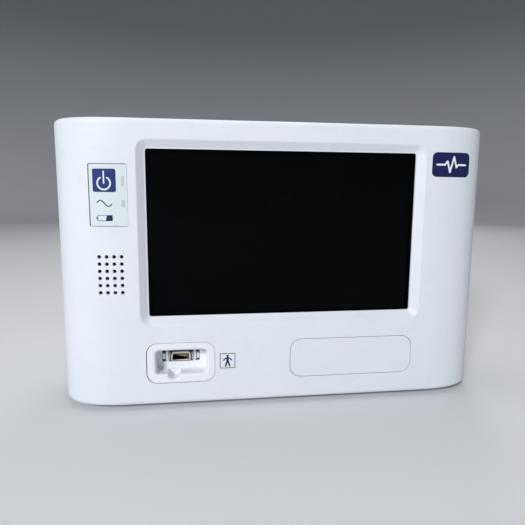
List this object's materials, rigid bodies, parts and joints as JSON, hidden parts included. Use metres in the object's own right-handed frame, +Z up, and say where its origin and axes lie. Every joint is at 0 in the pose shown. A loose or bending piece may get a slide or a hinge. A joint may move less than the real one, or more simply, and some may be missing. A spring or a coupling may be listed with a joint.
{
  "type": "patient monitor",
  "caption": "Bedside pulse-oximetry monitor with a wide screen, sprung power key, recessed sensor port, rear handle pocket, mains inlet with fuse drawer and rubber feet.",
  "frame": {"origin": "on the plane the feet stand on, under the middle of the housing's width and depth", "axes": "+X to the right as the user faces the screen, +Y from the screen to the back, +Z up"},
  "size_m": [0.255, 0.082, 0.1635],
  "materials": {
    "housing_white": "fine moulded texture, cool white",
    "port_white": "smooth moulded, brighter white than the case",
    "film_grey": "printed polyester film, satin",
    "key_blue": "satin, navy blue with a white power symbol",
    "black_plastic": "moulded, satin black",
    "steel": "plated sheet and screws",
    "plated_brass": "plated, bright",
    "heat_sink_aluminium": "extruded, dull",
    "display_glass": "dark glass with the display off",
    "display_black": "unlit display behind the glass",
    "board_green": "solder mask, satin",
    "black_rubber": "moulded rubber, matt",
    "cell_wrap": "shrink sleeve",
    "clear_guide": "clear moulded",
    "label_silver": "satin foil, blank"
  },
  "bodies": {
    "housing": {"front_case": "housing_white", "rear_case": "housing_white", "option_blank_plate": "housing_white", "battery_door": "housing_white", "sensor_port_surround": "port_white", "control_film": "film_grey", "tact_switch": "black_plastic", "speaker": "black_plastic", "sensor_socket_insert": "black_plastic", "transformer": "black_plastic", "bulk_capacitor": "black_plastic", "mains_inlet": "black_plastic", "nurse_call_jack": "black_plastic", "case_screw_1": "steel", "case_screw_2": "steel", "case_screw_3": "steel", "case_screw_4": "steel", "sensor_socket_shell": "steel", "oximetry_shield": "steel", "display_bracket": "steel", "display_screw_1": "steel", "display_screw_2": "steel", "display_screw_3": "steel", "display_screw_4": "steel", "chassis_plate": "steel", "battery_door_screw_1": "steel", "battery_door_screw_2": "steel", "usb_port_1": "steel", "usb_port_2": "steel", "line_pin": "plated_brass", "neutral_pin": "plated_brass", "earth_pin": "plated_brass", "equipotential_post": "plated_brass", "equipotential_nut": "plated_brass", "heat_sink": "heat_sink_aluminium", "touch_panel": "display_glass", "lcd_module": "display_black", "key_board": "board_green", "oximetry_board": "board_green", "main_board": "board_green", "power_supply_board": "board_green", "socket_board": "board_green", "case_seal": "black_rubber", "foot_1": "black_rubber", "foot_2": "black_rubber", "foot_3": "black_rubber", "foot_4": "black_rubber", "speaker_gasket": "black_rubber", "screen_gasket": "black_rubber", "battery_pack": "cell_wrap", "indicator_light_guide": "clear_guide", "rating_label": "label_silver"},
    "power_key": {"power_key": "key_blue", "switch_plunger": "black_plastic"},
    "fuse_drawer": {"fuse_drawer": "black_plastic", "fuse_1": "label_silver", "fuse_2": "label_silver"}
  },
  "joints": [
    {"name": "power_key_press", "type": "slide", "parent": "housing", "child": "power_key", "axis": [0, 1, 0], "range_m": [0, 0.0008], "stiffness_N_per_m": 2000, "springref_m": -0.0004},
    {"name": "fuse_drawer_pull", "type": "slide", "parent": "housing", "child": "fuse_drawer", "axis": [0, 1, 0], "range_m": [0, 0.018]}
  ]
}
